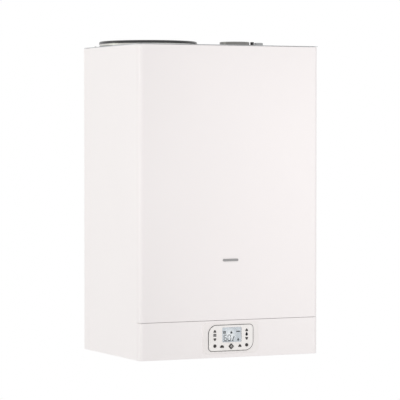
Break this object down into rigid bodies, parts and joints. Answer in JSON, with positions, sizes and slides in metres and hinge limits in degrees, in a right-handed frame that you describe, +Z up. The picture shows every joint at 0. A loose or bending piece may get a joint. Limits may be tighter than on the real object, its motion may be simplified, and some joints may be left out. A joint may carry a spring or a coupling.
{
  "type": "combi boiler",
  "caption": "Wall-hung condensing combi boiler with a storage tank, a lift-off cover, and a tilting fascia that holds a removable keypad with a display.",
  "frame": {"origin": "middle between the two wall screws, on the wall plane, 880 mm above the casing floor", "axes": "+X to the right of someone facing the boiler, +Y into the wall, +Z up"},
  "size_m": [0.6, 0.4726, 0.995],
  "materials": {
    "casing_paint": "satin warm white powder coat",
    "galvanised": "galvanised sheet",
    "cradle_plastic": "fine satin plastic",
    "unit_plastic": "semi-gloss plastic",
    "button_rubber": "dark grey key caps",
    "dark_plastic": "moulded dark plastic",
    "black_rubber": "black rubber",
    "clear_window": "clear window",
    "lcd": "liquid crystal panel",
    "circuit_board": "green lacquer with parts",
    "steel_light": "light steel",
    "stainless": "stainless steel",
    "foam": "insulation foam",
    "cast_aluminium": "as cast",
    "aluminium": "drawn aluminium",
    "cast_iron": "painted cast iron",
    "brass": "plain brass",
    "copper": "copper tube",
    "valve_metal": "die cast",
    "vessel_paint": "red enamel",
    "grey_plastic": "grey plastic",
    "collar_grey": "satin grey collar",
    "screws": "zinc plated"
  },
  "bodies": {
    "casing": {"bottom_tray": "galvanised", "burner_door": "cast_aluminium", "burner_tube": "stainless", "charge_pipes": "copper", "cold_pipe": "copper", "condensate_siphon": "grey_plastic", "cover_clips": "dark_plastic", "diverter_valve": "brass", "exchanger_core": "cast_aluminium", "exchanger_shell": "stainless", "expansion_vessel": "vessel_paint", "fan_housing": "cast_aluminium", "fan_motor": "dark_plastic", "flow_pipe": "copper", "flue_collar": "collar_grey", "flue_pipe": "aluminium", "gas_pipe": "copper", "gas_valve": "valve_metal", "hot_pipe": "copper", "inner_tank": "stainless", "panel_screws": "screws", "pump_housing": "cast_iron", "pump_motor": "dark_plastic", "rear_frame": "casing_paint", "return_pipe": "copper", "safety_valve": "brass", "side_panel_left": "casing_paint", "side_panel_right": "casing_paint", "tank_cover": "steel_light", "tank_cover_rim": "black_rubber", "tank_insulation": "foam", "tank_shell": "steel_light", "top_panel": "galvanised", "wall_bracket": "galvanised"},
    "cover": {"front_cover": "casing_paint", "cover_insulation": "foam", "cover_studs": "screws"},
    "control_box": {"fascia": "casing_paint", "control_box_housing": "dark_plastic", "control_box_lid": "dark_plastic", "main_pcb": "circuit_board", "unit_cradle": "cradle_plastic"},
    "control_unit": {"unit_front": "unit_plastic", "unit_back": "unit_plastic", "display_window": "clear_window", "lcd_module": "lcd", "unit_pcb": "circuit_board"},
    "fan_wheel": {"fan_impeller": "grey_plastic"},
    "pump_wheel": {"pump_rotor": "stainless"},
    "diverter_plug": {"diverter_spindle": "stainless"},
    "test_cap": {"sampling_cap": "black_rubber"},
    "button_heating_down_key": {"button_heating_down": "button_rubber"},
    "button_heating_up_key": {"button_heating_up": "button_rubber"},
    "button_info_key": {"button_info": "button_rubber"},
    "button_power_key": {"button_power": "button_rubber"},
    "button_program_key": {"button_program": "button_rubber"},
    "button_reset_key": {"button_reset": "button_rubber"},
    "button_select_key": {"button_select": "button_rubber"},
    "button_water_down_key": {"button_water_down": "button_rubber"},
    "button_water_up_key": {"button_water_up": "button_rubber"}
  },
  "joints": [
    {"name": "cover_pull", "type": "slide", "parent": "casing", "child": "cover", "axis": [0, -1, 0], "range_m": [0, 0.3]},
    {"name": "control_box_tilt", "type": "hinge", "parent": "casing", "child": "control_box", "pos_m": [0, -0.454, -0.8755], "axis": [1, 0, 0], "range_deg": [0, 90]},
    {"name": "control_unit_pull", "type": "slide", "parent": "control_box", "child": "control_unit", "axis": [0, -1, 0], "range_m": [0, 0.06]},
    {"name": "fan_spin", "type": "hinge", "parent": "casing", "child": "fan_wheel", "pos_m": [-0.06, -0.4, -0.24], "axis": [0, 1, 0], "continuous": true},
    {"name": "pump_spin", "type": "hinge", "parent": "casing", "child": "pump_wheel", "pos_m": [0.19, -0.28, -0.67], "axis": [0, 1, 0], "continuous": true},
    {"name": "diverter_stroke", "type": "slide", "parent": "casing", "child": "diverter_plug", "axis": [0, 1, 0], "range_m": [0, 0.01]},
    {"name": "test_cap_pull", "type": "slide", "parent": "casing", "child": "test_cap", "axis": [0, 0, 1], "range_m": [0, 0.03]},
    {"name": "button_heating_down_press", "type": "slide", "parent": "control_unit", "child": "button_heating_down_key", "axis": [0, 1, 0], "range_m": [0, 0.001], "stiffness_N_per_m": 800},
    {"name": "button_heating_up_press", "type": "slide", "parent": "control_unit", "child": "button_heating_up_key", "axis": [0, 1, 0], "range_m": [0, 0.001], "stiffness_N_per_m": 800},
    {"name": "button_info_press", "type": "slide", "parent": "control_unit", "child": "button_info_key", "axis": [0, 1, 0], "range_m": [0, 0.001], "stiffness_N_per_m": 800},
    {"name": "button_power_press", "type": "slide", "parent": "control_unit", "child": "button_power_key", "axis": [0, 1, 0], "range_m": [0, 0.001], "stiffness_N_per_m": 800},
    {"name": "button_program_press", "type": "slide", "parent": "control_unit", "child": "button_program_key", "axis": [0, 1, 0], "range_m": [0, 0.001], "stiffness_N_per_m": 800},
    {"name": "button_reset_press", "type": "slide", "parent": "control_unit", "child": "button_reset_key", "axis": [0, 1, 0], "range_m": [0, 0.001], "stiffness_N_per_m": 800},
    {"name": "button_select_press", "type": "slide", "parent": "control_unit", "child": "button_select_key", "axis": [0, 1, 0], "range_m": [0, 0.001], "stiffness_N_per_m": 800},
    {"name": "button_water_down_press", "type": "slide", "parent": "control_unit", "child": "button_water_down_key", "axis": [0, 1, 0], "range_m": [0, 0.001], "stiffness_N_per_m": 800},
    {"name": "button_water_up_press", "type": "slide", "parent": "control_unit", "child": "button_water_up_key", "axis": [0, 1, 0], "range_m": [0, 0.001], "stiffness_N_per_m": 800}
  ]
}
